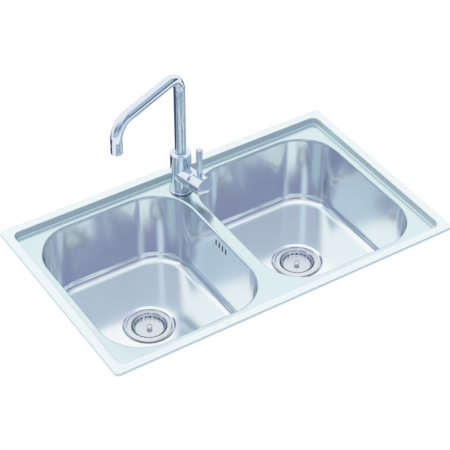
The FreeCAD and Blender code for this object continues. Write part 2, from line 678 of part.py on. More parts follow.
def fixing_stud():
    return cylinder(STUD_RADIUS, SPIGOT_FOOT + 12 - STUD_LENGTH, SPIGOT_FOOT + 12, 0, TAP_Y + STUD_OFFSET)


def horseshoe(low, high):
    """Washer open to the front, so that it slips in round the inlets, with a hole for the stud."""
    gap = NOTCH_RADIUS
    plate = cylinder(WASHER_RADIUS, low, high).cut(cylinder(gap, low - 1, high + 1, 0, NOTCH_Y))
    plate = plate.cut(box(-gap, gap, -WASHER_RADIUS - 1, NOTCH_Y, low - 1, high + 1))
    return at_tap(plate.cut(cylinder(STUD_RADIUS + 0.2, low - 1, high + 1, 0, STUD_OFFSET)))


# ---- tap: spout ----
def spout_line(foot, end):
    angle = math.radians(SPOUT_ANGLE)
    out = Vector(SPOUT_REACH * math.cos(angle), SPOUT_REACH * math.sin(angle), 0)
    top = Vector(0, 0, SPOUT_HEIGHT)
    return [Vector(0, 0, foot), top, out + top, out + Vector(0, 0, end)]


AERATOR_TOP = OUTLET_Z + 22.0
AERATOR_NECK = 8.0


def spout_tube():
    outer = pipe(spout_line(SOCKET_FLOOR + 3, AERATOR_TOP), SPOUT_BEND, TUBE_RADIUS)
    inner = pipe(spout_line(SOCKET_FLOOR + 2, AERATOR_TOP - 1), SPOUT_BEND, TUBE_RADIUS - TUBE_WALL)
    return at_tap(outer.cut(inner))


def spout_bush():
    """Bearing sleeve pressed on the foot of the tube, grooved for the two seals."""
    outer = SOCKET_RADIUS - RUNNING_GAP
    groove = outer - 1.0
    low, high = SOCKET_FLOOR + 3, BODY_TOP - RUNNING_GAP
    outline = [(TUBE_RADIUS, low), (outer, low)]
    for z in (low + 6, low + 13):
        outline += [(outer, z), (groove, z), (groove, z + 2.2), (outer, z + 2.2)]
    return at_tap(revolve(outline + [(outer, high), (TUBE_RADIUS, high)]))


def spout_seals():
    low = SOCKET_FLOOR + 3
    inner, outer = SOCKET_RADIUS - RUNNING_GAP - 1.0, SOCKET_RADIUS - 0.2
    return group([at_tap(ring(inner, outer, z, z + 2.2)) for z in (low + 6, low + 13)])


def at_outlet(shape):
    end = spout_line(0, 0)[-1]
    shape.translate(Vector(end.x, end.y + TAP_Y, 0))
    return shape


def aerator_housing():
    """Turned sleeve, a little proud of the tube, whose neck screws up inside it."""
    bore, proud, neck_top = TUBE_RADIUS - TUBE_WALL, TUBE_RADIUS + 0.3, AERATOR_TOP + AERATOR_NECK
    shape = revolve([
        (bore - 1.2, OUTLET_Z + 1), (bore + 0.6, OUTLET_Z), (TUBE_RADIUS - 0.5, OUTLET_Z),
        (proud, OUTLET_Z + 0.8), (proud, AERATOR_TOP - 0.6), (TUBE_RADIUS, AERATOR_TOP),
        (bore, AERATOR_TOP), (bore, neck_top), (bore - 1.2, neck_top)])
    return at_outlet(shape)


def aerator_insert():
    """Moulded core with a grid of jets."""
    low, high = OUTLET_Z + 2.0, OUTLET_Z + 12.0
    radius = TUBE_RADIUS - TUBE_WALL - 1.2
    core = cylinder(radius, low, high)
    jets = [cylinder(1.2, low - 1, high + 1)]
    for count, orbit in ((6, 3.6), (12, 7.0)):
        for i in range(count):
            angle = 2 * math.pi * i / count
            jets.append(cylinder(1.1, low - 1, high + 1, orbit * math.cos(angle), orbit * math.sin(angle)))
    return at_outlet(core.cut(group(jets)))


# ---- tap: cartridge, drawn along +X from the tap's axis ----
DISC_START = CHAMBER_FLOOR + 1.0
DISC_RADIUS = 15.3
CARRIER_BACK = 22.3
CARRIER_RADIUS = 13.0
HOUSING_BORE = CARRIER_RADIUS + RUNNING_GAP
SHOULDER_X = BARREL_END - 6.75
NECK_RADIUS = 15.0
NECK_END = 42.0
PIN_RADIUS = 1.5
DOME_SHEET = 1.5
DOME_MOUTH = 18.0


def cartridge_seals():
    rings = [rod(4.6, CHAMBER_FLOOR, DISC_START, y, z).cut(rod(PORT_HOLE_RADIUS + 0.2, 0, 30, y, z))
             for y, z in PORT_PLACES]
    return in_barrel(group(rings))


def fixed_disc():
    disc = rod(DISC_RADIUS, DISC_START, DISC_START + 4)
    for y, z in PORT_PLACES:
        disc = disc.cut(rod(PORT_HOLE_RADIUS, 0, 30, y, z))
    return in_barrel(disc)


def moving_disc():
    start = DISC_START + 4 + RUNNING_GAP
    disc = rod(12.4, start, CARRIER_BACK)
    return in_barrel(disc.cut(rod(9.0, start - 1, start + 1.4, 0, 0)))


def cartridge_housing():
    disc_end = DISC_START + 4
    shape = revolve([
        (DISC_RADIUS, DISC_START), (CHAMBER_RADIUS, DISC_START), (CHAMBER_RADIUS, SHOULDER_X),
        (NECK_RADIUS, SHOULDER_X), (NECK_RADIUS, NECK_END), (HOUSING_BORE, NECK_END),
        (HOUSING_BORE, disc_end), (DISC_RADIUS, disc_end)], X_AXIS)
    return in_barrel(shape)


def cartridge_nut():
    nut = rod(NUT_RADIUS, SHOULDER_X, BARREL_END).cut(rod(NECK_RADIUS + 0.2, 0, 60))
    for i in range(6):
        key = box(BARREL_END - 2, BARREL_END + 1, -1.5, 1.5, NECK_RADIUS, NECK_RADIUS + 3)
        key.rotate(Vector(0, 0, 0), X_AXIS, 60 * i)
        nut = nut.cut(key)
    return in_barrel(nut)


def barrel_dome():
    """Spherical ring that the cap swings over; its centre is the lever's pivot."""
    outer = Part.makeSphere(DOME_RADIUS, Vector(PIVOT_X, 0, 0))
    inner = Part.makeSphere(DOME_RADIUS - DOME_SHEET, Vector(PIVOT_X, 0, 0))
    slab = rod(DOME_RADIUS + 2, BARREL_END, PIVOT_X + DOME_MOUTH)
    return in_barrel(outer.cut(inner).common(slab))


def cartridge_carrier():
    """Forked disc that turns in the housing; the stem tilts in its slot."""
    carrier = rod(CARRIER_RADIUS, CARRIER_BACK, PIVOT_X + 9)
    slot = STEM_SIZE / 2 + RUNNING_GAP
    carrier = carrier.cut(box(CARRIER_BACK + 2.7, PIVOT_X + 20, -slot, slot, -20, 20))
    hole = Part.makeCylinder(PIN_RADIUS, 40, Vector(PIVOT_X, -20, 0), Vector(0, 1, 0))
    return in_barrel(carrier.cut(hole))


def pivot_pin():
    half = CARRIER_RADIUS - 0.6
    return in_barrel(Part.makeCylinder(PIN_RADIUS, 2 * half, Vector(PIVOT_X, -half, 0), Vector(0, 1, 0)))


# ---- tap: lever ----
STEM_BACK = PIVOT_X - 8.0
STEM_END = 71.0
CAVITY_END = PIVOT_X + DOME_RADIUS + 0.7
SEAT_HEIGHT = BARREL_RADIUS - 1.0
TAIL_RADIUS = 3.0
TAIL_LENGTH = 9.0
TAIL_X = LEVER_X + 2.5
GRUB_RADIUS = 2.5
GRUB_X = 67.0


def cartridge_stem():
    half = STEM_SIZE / 2
    stem = box(STEM_BACK, STEM_END, -half, half, -half, half)
    hole = Part.makeCylinder(PIN_RADIUS + 0.05, 40, Vector(PIVOT_X, -20, 0), Vector(0, 1, 0))
    return in_barrel(stem.cut(hole))


def lever_cap():
    """Hollow cylinder with a closed end, a flat seat for the pin and a socket for the stem."""
    outer = rod(BARREL_RADIUS, CAP_START, CAP_END)
    rim = [e for e in outer.Edges if e.BoundBox.XMin > CAP_END - 0.1]
    outer = outer.makeFillet(1.2, rim).cut(rod(CAP_BORE, CAP_START - 1, CAVITY_END))
    half = STEM_SIZE / 2
    outer = outer.cut(box(CAVITY_END - 1, STEM_END, -half, half, -half, half))
    outer = outer.cut(cylinder(LEVER_FOOT_RADIUS + 0.1, SEAT_HEIGHT, SEAT_HEIGHT + 10, LEVER_X))
    outer = outer.cut(cylinder(TAIL_RADIUS, SEAT_HEIGHT - TAIL_LENGTH - 1, SEAT_HEIGHT + 1, TAIL_X))
    return in_barrel(outer.cut(cylinder(GRUB_RADIUS, -BARREL_RADIUS - 1, -half, GRUB_X)))


def lever_pin():
    """Turned pin, a little thicker at its rounded top, with a threaded tail in the cap."""
    top = BARREL_RADIUS + LEVER_LENGTH
    crown = [(LEVER_HEAD_RADIUS * math.cos(math.radians(a)), top - 3.2 + 3.2 * math.sin(math.radians(a)))
             for a in (0, 30, 60)]
    shaft = revolve([(0, SEAT_HEIGHT), (LEVER_FOOT_RADIUS, SEAT_HEIGHT)] + crown + [(0, top)])
    shaft.translate(Vector(LEVER_X, 0, 0))
    tail = cylinder(TAIL_RADIUS, SEAT_HEIGHT - TAIL_LENGTH, SEAT_HEIGHT, TAIL_X)
    return in_barrel(shaft.fuse(tail))


def grub_screw():
    return in_barrel(cylinder(GRUB_RADIUS, -13.0, -STEM_SIZE / 2, GRUB_X))


def tap_parts():
    plate_z = DECK_Z - SHEET
    return {
        "tap_base_gasket": at_tap(ring(TAP_HOLE_RADIUS, 26.0, DECK_Z, DECK_Z + BASE_GASKET)),
        "tap_base_ring": base_ring(),
        "tap_body": tap_body(),
        "spout_ring": spout_ring(),
        "fixing_stud": fixing_stud(),
        "horseshoe_rubber": horseshoe(plate_z - 3.0, plate_z),
        "horseshoe_plate": horseshoe(plate_z - 5.0, plate_z - 3.0),
        "stud_nut": stud_nut(plate_z - 5.0),
        "cartridge_seals": cartridge_seals(),
        "fixed_disc": fixed_disc(),
        "cartridge_housing": cartridge_housing(),
        "cartridge_nut": cartridge_nut(),
        "barrel_dome": barrel_dome(),
        "spout_tube": spout_tube(),
        "spout_bush": spout_bush(),
        "spout_seals": spout_seals(),
        "aerator_housing": aerator_housing(),
        "aerator_insert": aerator_insert(),
        "moving_disc": moving_disc(),
        "cartridge_carrier": cartridge_carrier(),
        "pivot_pin": pivot_pin(),
        "cartridge_stem": cartridge_stem(),
        "lever_cap": lever_cap(),
        "lever_pin": lever_pin(),
        "grub_screw": grub_screw()}


def stud_nut(top):
    nut = hexagon(13.0, 6.5, top - 6.5).cut(cylinder(STUD_RADIUS, top - 8, top + 1))
    nut.translate(Vector(0, TAP_Y + STUD_OFFSET, 0))
    return nut


# ---- all nodes ----
def all_parts():
    parts = {"deck_panel": deck_panel(), "rim_seal": rim_seal()}
    for name, side in SIDES.items():
        parts[f"{name}_bowl"] = bowl(side)
        parts[f"{name}_sound_pad"] = sound_pad(side)
        parts.update(waste_parts(name, side))
    parts.update(overflow_parts())
    parts.update(clip_parts())
    parts.update(tap_parts())
    return parts


os.makedirs("parts", exist_ok=True)
for node, shape in all_parts().items():
    shape.exportStep(os.path.join("parts", node + ".step"))
    print(f"{node:24s} valid {shape.isValid()} solids {len(shape.Solids):2d} "
          f"faces {len(shape.Faces):4d} volume {shape.Volume:12.1f}")
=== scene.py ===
import json
import math

import bmesh
import bpy
import numpy as np
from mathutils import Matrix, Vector, geometry


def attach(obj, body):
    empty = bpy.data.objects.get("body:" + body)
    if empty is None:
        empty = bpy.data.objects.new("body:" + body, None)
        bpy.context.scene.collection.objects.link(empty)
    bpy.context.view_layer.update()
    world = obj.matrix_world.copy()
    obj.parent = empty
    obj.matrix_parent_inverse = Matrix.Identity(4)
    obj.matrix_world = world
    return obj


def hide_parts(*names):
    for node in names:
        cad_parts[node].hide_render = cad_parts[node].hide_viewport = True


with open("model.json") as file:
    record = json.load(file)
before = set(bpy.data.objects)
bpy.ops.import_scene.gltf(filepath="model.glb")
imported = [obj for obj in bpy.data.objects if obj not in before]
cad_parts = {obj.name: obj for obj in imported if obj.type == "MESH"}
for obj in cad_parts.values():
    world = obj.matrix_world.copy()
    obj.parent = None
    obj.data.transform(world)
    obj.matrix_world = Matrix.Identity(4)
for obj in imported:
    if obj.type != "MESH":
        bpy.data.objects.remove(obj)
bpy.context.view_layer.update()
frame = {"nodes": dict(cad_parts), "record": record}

nodes = frame["nodes"]
scene = bpy.context.scene


# ---- camera ----
# The photograph looks down on the sink from its front left, through a long lens. Place, direction and
# lens were worked out from the rim, the bowl openings and the drains.
CAMERA_PLACE = (-1.419, -2.213, 2.228)
CAMERA_SIGHT = (0.4122, 0.6449, -0.6436)
CAMERA_LENS = 127.3

camera = bpy.data.objects.new("camera", bpy.data.cameras.new("camera"))
camera.data.lens = CAMERA_LENS
camera.data.sensor_width = 36.0
camera.location = CAMERA_PLACE
camera.rotation_euler = Vector(CAMERA_SIGHT).to_track_quat("-Z", "Y").to_euler()
scene.collection.objects.link(camera)
scene.camera = camera
scene.view_settings.view_transform = "Standard"


# ---- pressed sheet: deck panel ----
# The top of the sink is one sheet of 1.2 mm stainless steel. Its edge is turned down round the rim, a
# step drops to the deck, and each bowl opening is rolled down into a collar that the bowl is welded to.
MM = 0.001
SINK_HALF = (420.0, 257.5)
SHEET = 1.2
RIM_TOP = 5.0
DECK_Z = -10.0
COLLAR_Z = -18.0
STEP_INSET = 21.0
STEP_RUN = 4.0
RIM_CORNER = 10.0
STEP_CORNER = 17.0
EDGE_ROUNDS = (3.0, 2.6, 3.0)
BLEND_START = 4.0
BLEND_END = 17.0
LEAST_CORNER = 5.0
FLAT_MARGIN = 6.0
BOWL_HALF = (180.5, 213.0)
BOWL_CORNER = 100.0
BOWL_X = 196.5
ROLL_RADIUS = 6.0
ROLL_STEPS = 11
TAP_Y = 189.0
TAP_HOLE = 17.5
HOLE_MARGIN = 0.4
HOLE_STEPS = 64
CORNER_STEPS = 24
SIDE_STEPS = 24
GUARD = 0.3


def eased(points, radii, steps=8):
    """Outline through points whose corners are arcs: each arc starts radius * tan(turn / 2) before its
    corner, and a guard point just outside each end keeps the flat beside it flat when shaded."""
    points = np.asarray(points, float)
    out = [points[0]]
    for before, corner, after, radius in zip(points, points[1:], points[2:], radii):
        arrive, leave = corner - before, after - corner
        arrive, leave = arrive / np.linalg.norm(arrive), leave / np.linalg.norm(leave)
        turn = math.acos(np.clip(arrive @ leave, -1, 1))
        side = np.sign(arrive[0] * leave[1] - arrive[1] * leave[0])
        square = np.array([-arrive[1], arrive[0]]) * side
        setback = radius * math.tan(turn / 2)
        a = np.linspace(0, turn, steps + 1)[:, None]
        arc = corner - arrive * setback + radius * (arrive * np.sin(a) + square * (1 - np.cos(a)))
        out += [arc[0] - arrive * GUARD, *arc, arc[-1] + leave * GUARD]
    return np.array(out + [points[-1]])


def level_ring(half, corner, z, centre=(0.0, 0.0)):
    """Points round a level rectangle: each corner is centre + radius * (cos t, sin t), and each side is
    divided evenly. Counter-clockwise from the +X side's upper corner."""
    t = np.linspace(0, np.pi / 2, CORNER_STEPS, endpoint=False)
    s = np.linspace(0, 1, SIDE_STEPS, endpoint=False)[:, None]
    middles = [np.array([x * (half[0] - corner), y * (half[1] - corner)])
               for x, y in ((1, 1), (-1, 1), (-1, -1), (1, -1))]
    out = []
    for quarter, middle in enumerate(middles):
        angle = t + quarter * np.pi / 2
        out.append(middle + corner * np.stack([np.cos(angle), np.sin(angle)], 1))
        end = (quarter + 1) * np.pi / 2
        outward = corner * np.array([math.cos(end), math.sin(end)])
        start, finish = middle + outward, middles[(quarter + 1) % 4] + outward
        out.append(start + (finish - start) * s)
    flat = np.concatenate(out) + np.array(centre)
    return np.column_stack([flat, np.full(len(flat), z)])


def grid_faces(rows, count, start=0):
    """Quads over a grid of rows by count points: row i joins row i + 1, and the last column the first."""
    i, j = np.mgrid[0:rows - 1, 0:count]
    k = (j + 1) % count
    corners = [i * count + j, i * count + k, (i + 1) * count + k, (i + 1) * count + j]
    return (start + np.stack(corners, -1)).reshape(-1, 4)


def make_piece(name, surfaces, faces=(), sharp=35.0):
    """One mesh object in metres from grids of points in millimetres, each a (rows, count, 3) array that
    closes on itself, and further faces as lists of indices into the same points."""
    points, quads, start = [], [], 0
    for rings in surfaces:
        rows, count = rings.shape[:2]
        if rows > 1:
            quads.append(grid_faces(rows, count, start))
        points.append(rings.reshape(-1, 3))
        start += rows * count
    mesh = bpy.data.meshes.new(name)
    listed = [q for block in quads for q in block.tolist()] + [list(f) for f in faces]
    mesh.from_pydata((np.concatenate(points) * MM).tolist(), [], listed)
    mesh.validate()
    piece = bpy.data.objects.new(name, mesh)
    scene.collection.objects.link(piece)
    weld(piece)
    mesh.polygons.foreach_set("use_smooth", np.ones(len(mesh.polygons), bool))
    mesh.set_sharp_from_angle(angle=math.radians(sharp))
    crisp_ends(mesh)
    return piece


def crisp_ends(mesh):
    """Mark sharp each edge that only one face uses, so that a sheet's cut end doesn't tilt its shading."""
    used, marked = np.zeros(len(mesh.loops), int), np.zeros(len(mesh.edges), bool)
    mesh.loops.foreach_get("edge_index", used)
    mesh.edges.foreach_get("use_edge_sharp", marked)
    mesh.edges.foreach_set("use_edge_sharp", marked | (np.bincount(used, minlength=len(marked)) == 1))


def weld(piece):
    """Join the points where two grids meet, and drop the faces without width. Distances in metres."""
    reach, no_width = 2e-6, 1e-7
    work = bmesh.new()
    work.from_mesh(piece.data)
    bmesh.ops.remove_doubles(work, verts=work.verts, dist=reach)
    bmesh.ops.dissolve_degenerate(work, edges=work.edges, dist=no_width)
    work.to_mesh(piece.data)
    work.free()


def thicken(piece, thickness):
    """Give a sheet its gauge, on the side that its faces turn away from."""
    wall = piece.modifiers.new("gauge", "SOLIDIFY")
    wall.thickness = thickness * MM
    wall.offset = -1.0
    wall.use_even_offset = True


def circle_ring(radius, z, angles, centre):
    """centre + radius * (cos a, sin a) at height z."""
    return np.column_stack([centre[0] + radius * np.cos(angles), centre[1] + radius * np.sin(angles),
                            np.full(len(angles), z)])


# Going in from the rim, the corners' radius changes from the rim's to the step's.
edge = eased([(0, 0), (0, RIM_TOP), (STEP_INSET, RIM_TOP), (STEP_INSET + STEP_RUN, DECK_Z),
              (STEP_INSET + STEP_RUN + FLAT_MARGIN, DECK_Z)], EDGE_ROUNDS)
edge_rings = []
for inset, height in edge:
    share = np.clip((inset - BLEND_START) / (BLEND_END - BLEND_START), 0, 1)
    outer_corner, step_corner = max(RIM_CORNER - inset, LEAST_CORNER), STEP_CORNER + STEP_INSET - inset
    corner = (1 - share) * outer_corner + share * step_corner
    edge_rings.append(level_ring((SINK_HALF[0] - inset, SINK_HALF[1] - inset), corner, height))
roll = np.linspace(0, np.pi / 2, ROLL_STEPS)
roll_profile = [(ROLL_RADIUS + 2 * GUARD, DECK_Z), (ROLL_RADIUS + GUARD, DECK_Z)]
roll_profile += [(ROLL_RADIUS * (1 - math.sin(a)), DECK_Z - ROLL_RADIUS * (1 - math.cos(a))) for a in roll]
roll_profile += [(0.0, COLLAR_Z)]
opening_rings = [np.array([level_ring((BOWL_HALF[0] + o, BOWL_HALF[1] + o), BOWL_CORNER + o, z,
                                      (side * BOWL_X, 0)) for o, z in roll_profile]) for side in (-1, 1)]
hole_angles = np.linspace(0, 2 * np.pi, HOLE_STEPS, endpoint=False)
hole_rings = np.array([circle_ring(radius, DECK_Z, hole_angles, (0, TAP_Y))
                       for radius in (TAP_HOLE + HOLE_MARGIN, TAP_HOLE)])


def flat_fill(outer, holes):
    """Triangles over the flat inside an outer ring and outside the holes, all at one height."""
    loops = [outer] + holes
    points = [Vector(p[:2]) for loop in loops for p in loop]
    edges, start = [], 0
    for loop in loops:
        count = len(loop)
        edges += [(start + i, start + (i + 1) % count) for i in range(count)]
        start += count
    triangles_inside, nearest = 1, 1e-4
    found = geometry.delaunay_2d_cdt(points, edges, [], triangles_inside, nearest)
    spots = np.array([(p.x, p.y) for p in found[0]])
    keep = []
    for face in found[2]:
        centre = spots[list(face)].mean(0)
        if inside(centre, outer) and not any(inside(centre, hole) for hole in holes):
            keep.append(face)
    return np.column_stack([spots, np.full(len(spots), outer[0][2])]), keep


def inside(point, loop):
    """Even-odd test: how many sides of the loop cross the ray from the point along +X."""
    x, y = loop[:, 0], loop[:, 1]
    x2, y2 = np.roll(x, -1), np.roll(y, -1)
    crosses = (y > point[1]) != (y2 > point[1])
    with np.errstate(divide="ignore", invalid="ignore"):
        at = x + (point[1] - y) / (y2 - y) * (x2 - x)
    return np.count_nonzero(crosses & (point[0] < at)) % 2 == 1


flat_points, flat_faces = flat_fill(edge_rings[-1], [rings[0] for rings in (*opening_rings, hole_rings)])
deck_grids = [np.array(edge_rings), *opening_rings, hole_rings]
flat_start = sum(g.shape[0] * g.shape[1] for g in deck_grids)
deck = make_piece("deck_sheet", deck_grids + [flat_points[None]],
                  [[flat_start + i for i in face] for face in flat_faces])
thicken(deck, SHEET)
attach(deck, "sink")
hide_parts("deck_panel")


def linear(code):
    """sRGB hex to linear red, green, blue and alpha."""
    c = np.array([int(code[i:i + 2], 16) for i in (1, 3, 5)]) / 255
    c = np.where(c <= 0.04045, c / 12.92, ((c + 0.055) / 1.055) ** 2.4)
    return (*c, 1.0)


def add(tree, kind, inputs=None, **settings):
    """Add one node, set its properties, and give each input a value or a link."""
    made = tree.nodes.new(kind)
    for key, value in settings.items():
        setattr(made, key, value)
    for key, value in (inputs or {}).items():
        if isinstance(value, bpy.types.NodeSocket):
            tree.links.new(value, made.inputs[key])
        else:
            made.inputs[key].default_value = value
    return made


def blank(name):
    """New material whose tree holds only a Principled shader and the output."""
    material = bpy.data.materials.new(name)
    material.use_nodes = True
    tree = material.node_tree
    tree.nodes.clear()
    shader = add(tree, "ShaderNodeBsdfPrincipled")
    add(tree, "ShaderNodeOutputMaterial", {"Surface": shader.outputs["BSDF"]})
    return material, tree, shader


def drawn_stainless(name, tint, darker, roughness, along):
    """Satin stainless sheet, AISI 304, rolled and belt-brushed. Brush lines about 1 mm apart run along one
    axis, coarser than real ones so that they show, and drawing leaves faint cloudy patches of 0.1 m."""
    per_metre, clouds_per_metre = 900.0, 9.0
    swing, cloud_swing = 0.035, 0.015
    material, tree, shader = blank(name)
    place = add(tree, "ShaderNodeTexCoord").outputs["Object"]
    stretched = add(tree, "ShaderNodeMapping", {"Vector": place, "Scale": along})
    lines = add(tree, "ShaderNodeTexNoise",
                {"Vector": stretched.outputs[0], "Scale": per_metre, "Detail": 3.0})
    clouds = add(tree, "ShaderNodeTexNoise", {"Vector": place, "Scale": clouds_per_metre, "Detail": 2.0})
    level = add(tree, "ShaderNodeMapRange", {"Value": lines.outputs[0], "From Min": 0.3, "From Max": 0.7,
                                             "To Min": roughness - swing, "To Max": roughness + swing})
    soft = add(tree, "ShaderNodeMapRange", {"Value": clouds.outputs[0], "From Min": 0.35, "From Max": 0.65,
                                            "To Min": -cloud_swing, "To Max": cloud_swing})
    rough = add(tree, "ShaderNodeMath", {0: level.outputs[0], 1: soft.outputs[0]}, operation="ADD")
    tree.links.new(rough.outputs[0], shader.inputs["Roughness"])
    colour = add(tree, "ShaderNodeMix", {0: lines.outputs[0], 6: linear(darker), 7: linear(tint)},
                 data_type="RGBA")
    tree.links.new(colour.outputs[2], shader.inputs["Base Color"])
    bump = add(tree, "ShaderNodeBump", {"Height": lines.outputs[0], "Strength": 0.02, "Distance": 0.0002})
    tree.links.new(bump.outputs[0], shader.inputs["Normal"])
    shader.inputs["Metallic"].default_value = 1.0
    return material


def grade_deck(material):
    """The border is buffed after pressing, so it is glossier, and stretching leaves the step duller: both
    follow the height in metres. The border's lighter colour is painted sheen, not a property of the steel."""
    border_low, border_high = 0.0040, 0.0048
    step_low, step_high = -0.0098, -0.0086
    dulling = 0.38
    tree = material.node_tree
    shader = next(n for n in tree.nodes if n.type == "BSDF_PRINCIPLED")
    place = add(tree, "ShaderNodeTexCoord").outputs["Object"]
    rise = add(tree, "ShaderNodeSeparateXYZ", {0: place}).outputs[2]
    border = add(tree, "ShaderNodeMapRange",
                 {"Value": rise, "From Min": border_low, "From Max": border_high}).outputs[0]
    step = add(tree, "ShaderNodeMapRange",
               {"Value": rise, "From Min": step_low, "From Max": step_high}).outputs[0]
    step = add(tree, "ShaderNodeMath", {0: step, 1: border}, operation="SUBTRACT").outputs[0]
    even = shader.inputs["Roughness"].links[0].from_socket
    rough = add(tree, "ShaderNodeMath", {0: step, 1: dulling, 2: even}, operation="MULTIPLY_ADD")
    tree.links.new(rough.outputs[0], shader.inputs["Roughness"])
    plain = shader.inputs["Base Color"].links[0].from_socket
    # Painted sheen: the border gets a lighter base colour than the rest of the same steel.
    colour = add(tree, "ShaderNodeMix", {0: border, 6: plain, 7: linear("#EEF6F8")}, data_type="RGBA")
    tree.links.new(colour.outputs[2], shader.inputs["Base Color"])


rim_steel = drawn_stainless("satin_stainless_rim", "#E2F0F2", "#D9E9EC", 0.2, (0.02, 1.0, 1.0))
grade_deck(rim_steel)
deck.data.materials.append(rim_steel)


# ---- bowls ----
# Each bowl is deep-drawn from the same steel: four walls that lean in by 10 mm, large round corners, a
# soft fillet to a flat floor and a shallow dished seat for the strainer. It is welded under the collar.
FLOOR_Z = -185.0
BOWL_DRAFT = 10.0
BOWL_FILLET = 21.0
FLOOR_BAND = 8.0
WALL_STEPS = 9
WASTE_Y = 8.0
DISH_RADIUS = 59.0
DISH_FOOT = 54.0
DISH_Z = -188.0
DRAIN_HOLE = 45.0


def bowl_surface(side):
    """Rings down the wall, inset by its profile, then rings that turn from the floor's outline to the
    dish: point + share * (circle point - point), all level, and the dish's own circles."""
    centre = (side * BOWL_X, 0.0)
    profile = eased([(0, COLLAR_Z), (BOWL_DRAFT, FLOOR_Z),
                     (BOWL_DRAFT + BOWL_FILLET + FLOOR_BAND, FLOOR_Z)], [BOWL_FILLET], 14)
    wall = profile[:2]
    extra = wall[0] + (wall[1] - wall[0]) * np.linspace(0, 1, WALL_STEPS)[1:-1, None]
    profile = np.concatenate([profile[:1], extra, profile[1:]])
    rings = [level_ring((BOWL_HALF[0] - i, BOWL_HALF[1] - i), BOWL_CORNER - i, z, centre)
             for i, z in profile]
    last = rings[-1]
    drain = (centre[0], WASTE_Y)
    angles = np.arctan2(last[:, 1] - drain[1], last[:, 0] - drain[0])
    round_floor = circle_ring(DISH_RADIUS + 4, FLOOR_Z, angles, drain)
    rings += [last + (round_floor - last) * s for s in (0.25, 0.5, 0.75, 1.0)]
    dish = eased([(DISH_RADIUS + 3, FLOOR_Z), (DISH_RADIUS, FLOOR_Z), (DISH_FOOT, DISH_Z),
                  (DRAIN_HOLE, DISH_Z)], [2.0, 1.5], 4)
    rings += [circle_ring(r, z, angles, drain) for r, z in dish]
    return np.array(rings)


bowls = {}
for name, side in (("left", -1), ("right", 1)):
    bowl = make_piece(f"{name}_bowl_pressing", [bowl_surface(side)], sharp=60.0)
    thicken(bowl, SHEET)
    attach(bowl, "sink")
    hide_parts(f"{name}_bowl")
    bowls[name] = bowl

bowl_steel = drawn_stainless("satin_stainless_bowl", "#F6FBFC", "#EEF5F7", 0.14, (1.0, 1.0, 0.03))
for bowl in bowls.values():
    bowl.data.materials.append(bowl_steel)


# ---- overflow slots ----
# Four upright slots punched through the left bowl's divider wall, 41 mm under the rim, lead surplus
# water to the moulded housing behind it. They are plain, round-ended holes.
SLOT_COUNT = 4
SLOT_SIZE = (5.0, 15.0)
SLOT_PITCH = 13.0
SLOT_MIDDLE = (-3.0, -36.0)
PUNCH_REACH = (-4.0, 5.0)

slot_tilt = math.atan2(BOWL_DRAFT, COLLAR_Z - FLOOR_Z + SHEET)


def slot_cutters():
    """Bars along the wall's normal whose section is two half circles joined by straight sides."""
    half, reach = SLOT_SIZE[0] / 2, (SLOT_SIZE[1] - SLOT_SIZE[0]) / 2
    a = np.linspace(0, np.pi, 13)
    up = np.column_stack([half * np.cos(a), reach + half * np.sin(a)])
    section = np.concatenate([up, -up])
    wall_x = -BOWL_X + BOWL_HALF[0] - (COLLAR_Z - SLOT_MIDDLE[1]) * math.tan(slot_tilt)
    grids, caps, start = [], [], 0
    for i in range(SLOT_COUNT):
        y = SLOT_MIDDLE[0] + SLOT_PITCH * (i - (SLOT_COUNT - 1) / 2)
        rows = []
        for depth in PUNCH_REACH:
            x = wall_x + depth * math.cos(slot_tilt) + section[:, 1] * math.sin(slot_tilt)
            z = SLOT_MIDDLE[1] - depth * math.sin(slot_tilt) + section[:, 1] * math.cos(slot_tilt)
            rows.append(np.column_stack([x, y + section[:, 0], z]))
        grids.append(np.array(rows))
        count = len(section)
        caps += [list(range(start + count - 1, start - 1, -1)), list(range(start + count, start + 2 * count))]
        start += 2 * count
    return grids, caps


def bake_modifiers(piece, sharp):
    """Make the mesh that the modifiers give the piece's own."""
    view = bpy.context.evaluated_depsgraph_get()
    mesh = bpy.data.meshes.new_from_object(piece.evaluated_get(view))
    piece.modifiers.clear()
    piece.data = mesh
    mesh.polygons.foreach_set("use_smooth", np.ones(len(mesh.polygons), bool))
    mesh.set_sharp_from_angle(angle=math.radians(sharp))


cutter = make_piece("slot_cutter", *slot_cutters())
punch = bowls["left"].modifiers.new("slots", "BOOLEAN")
punch.object = cutter
punch.operation = "DIFFERENCE"
punch.solver = "EXACT"
bake_modifiers(bowls["left"], 40.0)
bpy.data.objects.remove(cutter)


# ---- strainer wastes ----
# A bright drawn cup is clamped in each dish. Its flange lies flat on the steel, and a shallow slotted
# basket with a turned knob sits in it, plain-floored, a little under the flange.
FLANGE_RADIUS = 52.0
FLANGE_Z = -187.0
WELL_RADIUS = 24.5
WELL_TOP_Z = -224.0
WELL_LOW_Z = -225.0
WELL_HOLE = 5.5
WELL_HOLE_RING = 18.0
BASKET_FLOOR_Z = -196.0
BASKET_SLOTS = 20
SLOT_COLUMNS = 12
OPEN_COLUMNS = 3
POST_RADIUS = 2.3
ROUND_STEPS = 128


def turned(profile, centre, count=ROUND_STEPS):
    """Profile of (radius, height) turned about a vertical axis: radius * (cos a, sin a) at each height."""
    a = np.linspace(0, 2 * np.pi, count, endpoint=False)
    return np.array([circle_ring(r, z, a, centre) for r, z in profile])


def closed(profile, radii):
    """Outline with eased corners that ends where it starts."""
    out = eased(profile, radii, 4)
    return np.concatenate([out, out[:1]])


